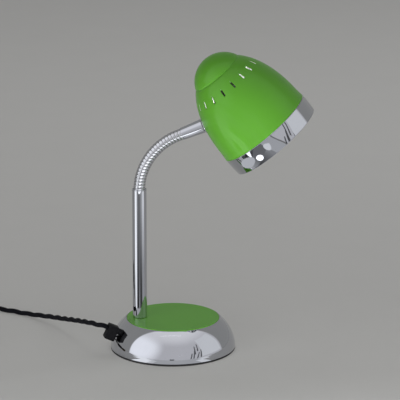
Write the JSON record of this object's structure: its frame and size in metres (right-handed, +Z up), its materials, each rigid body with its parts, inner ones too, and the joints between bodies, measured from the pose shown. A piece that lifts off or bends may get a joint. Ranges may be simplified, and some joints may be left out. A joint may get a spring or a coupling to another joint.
{
  "type": "gooseneck desk lamp",
  "caption": "Desk lamp with a weighted round base, an upright tube, a flexible neck and a bell shade with a vented crown.",
  "frame": {"origin": "middle of the underside of the foot pad, on the table", "axes": "+Z up, +X the way the neck leans and the shade looks, +Y to the left of it"},
  "size_m": [0.4904, 0.2279, 0.338],
  "materials": {
    "chrome": "mirror polished plating",
    "steel": "plain zinc plated",
    "iron": "as cast",
    "enamel": "glossy green enamel",
    "brass": "bright",
    "black": "satin black moulding",
    "rubber": "matt black",
    "fabric": "woven black sleeve",
    "wire": "insulated wire",
    "ceramic": "off-white moulding",
    "glass": "frosted"
  },
  "bodies": {
    "base": {"ballast_disc": "iron", "base_shell": "chrome", "base_top_plate": "enamel", "bottom_cover": "steel", "coil_tie": "rubber", "cord_bridge": "fabric", "cord_coil": "fabric", "cord_end": "fabric", "cord_grip_block": "black", "cord_grip_nut": "steel", "cord_grip_screw": "steel", "cord_grip_stem": "black", "cord_run": "fabric", "foot_pad": "rubber", "neck_socket": "steel", "plate_boss": "steel", "plug_body": "black", "plug_pin_left": "brass", "plug_pin_right": "brass", "stem_bush": "steel", "stem_lead": "wire", "stem_nipple": "steel", "stem_nut": "steel", "stem_tube": "chrome", "stem_washer": "steel", "supply_lead": "wire", "switch_case_lower": "black", "switch_case_upper": "black", "terminal_block": "ceramic", "tie_bolt": "steel"},
    "link_01": {"neck_link_01": "steel"},
    "link_02": {"neck_link_02": "steel"},
    "link_03": {"neck_link_03": "steel"},
    "link_04": {"neck_link_04": "steel"},
    "link_05": {"neck_link_05": "steel"},
    "link_06": {"neck_link_06": "steel"},
    "link_07": {"neck_link_07": "steel"},
    "link_08": {"neck_link_08": "steel"},
    "link_09": {"neck_link_09": "steel"},
    "link_10": {"neck_link_10": "steel"},
    "link_11": {"neck_link_11": "steel"},
    "link_12": {"neck_link_12": "steel"},
    "head": {"neck_end_fitting": "steel", "neck_ferrule": "chrome", "ferrule_collar": "chrome", "neck_nipple": "steel", "inner_washer": "steel", "inner_nut": "steel", "shade_shell": "enamel", "shade_rim_band": "chrome", "holder_bracket": "steel", "holder_screw": "steel", "lampholder_body": "ceramic", "lampholder_contact": "brass", "bulb_cap": "brass", "bulb_glass": "glass", "head_lead": "wire"},
    "switch_rocker": {"switch_rocker": "black"}
  },
  "joints": [
    {"name": "neck_pitch_1", "type": "hinge", "parent": "base", "child": "link_01", "pos_m": [-0.0369, 0, 0.1844], "axis": [0, 1, 0], "range_deg": [-9.5, 6]},
    {"name": "neck_sway_1", "type": "hinge", "parent": "link_01", "child": "link_02", "pos_m": [-0.03633, 0, 0.19058], "axis": [0.9834, 0, -0.1815], "range_deg": [-7, 7]},
    {"name": "neck_pitch_2", "type": "hinge", "parent": "link_02", "child": "link_03", "pos_m": [-0.03521, 0, 0.19668], "axis": [0, 1, 0], "range_deg": [-9.5, 6]},
    {"name": "neck_sway_2", "type": "hinge", "parent": "link_03", "child": "link_04", "pos_m": [-0.03353, 0, 0.20266], "axis": [0.9341, 0, -0.3571], "range_deg": [-7, 7]},
    {"name": "neck_pitch_3", "type": "hinge", "parent": "link_04", "child": "link_05", "pos_m": [-0.03131, 0, 0.20846], "axis": [0, 1, 0], "range_deg": [-9.5, 6]},
    {"name": "neck_sway_3", "type": "hinge", "parent": "link_05", "child": "link_06", "pos_m": [-0.02858, 0, 0.21402], "axis": [0.8537, 0, -0.5207], "range_deg": [-7, 7]},
    {"name": "neck_pitch_4", "type": "hinge", "parent": "link_06", "child": "link_07", "pos_m": [-0.02535, 0, 0.21932], "axis": [0, 1, 0], "range_deg": [-9.5, 6]},
    {"name": "neck_sway_4", "type": "hinge", "parent": "link_07", "child": "link_08", "pos_m": [-0.02165, 0, 0.22431], "axis": [0.745, 0, -0.6671], "range_deg": [-7, 7]},
    {"name": "neck_pitch_5", "type": "hinge", "parent": "link_08", "child": "link_09", "pos_m": [-0.01751, 0, 0.22893], "axis": [0, 1, 0], "range_deg": [-9.5, 6]},
    {"name": "neck_sway_5", "type": "hinge", "parent": "link_09", "child": "link_10", "pos_m": [-0.01296, 0, 0.23316], "axis": [0.6115, 0, -0.7912], "range_deg": [-7, 7]},
    {"name": "neck_pitch_6", "type": "hinge", "parent": "link_10", "child": "link_11", "pos_m": [-0.00805, 0, 0.23695], "axis": [0, 1, 0], "range_deg": [-9.5, 6]},
    {"name": "neck_sway_6", "type": "hinge", "parent": "link_11", "child": "link_12", "pos_m": [-0.00282, 0, 0.24028], "axis": [0.4577, 0, -0.8891], "range_deg": [-7, 7]},
    {"name": "neck_pitch_7", "type": "hinge", "parent": "link_12", "child": "head", "pos_m": [0.0027, 0, 0.24312], "axis": [0, 1, 0], "range_deg": [-9.5, 6]},
    {"name": "switch_rock", "type": "hinge", "parent": "base", "child": "switch_rocker", "pos_m": [-0.266, 0.146, 0.011], "axis": [0, 1, 0], "range_deg": [-16, 0]}
  ],
  "couplings": [
    {"joint": "neck_pitch_2", "follows": "neck_pitch_1", "ratio": 1},
    {"joint": "neck_sway_2", "follows": "neck_sway_1", "ratio": 1},
    {"joint": "neck_pitch_3", "follows": "neck_pitch_1", "ratio": 1},
    {"joint": "neck_sway_3", "follows": "neck_sway_1", "ratio": 1},
    {"joint": "neck_pitch_4", "follows": "neck_pitch_1", "ratio": 1},
    {"joint": "neck_sway_4", "follows": "neck_sway_1", "ratio": 1},
    {"joint": "neck_pitch_5", "follows": "neck_pitch_1", "ratio": 1},
    {"joint": "neck_sway_5", "follows": "neck_sway_1", "ratio": 1},
    {"joint": "neck_pitch_6", "follows": "neck_pitch_1", "ratio": 1},
    {"joint": "neck_sway_6", "follows": "neck_sway_1", "ratio": 1},
    {"joint": "neck_pitch_7", "follows": "neck_pitch_1", "ratio": 1}
  ]
}
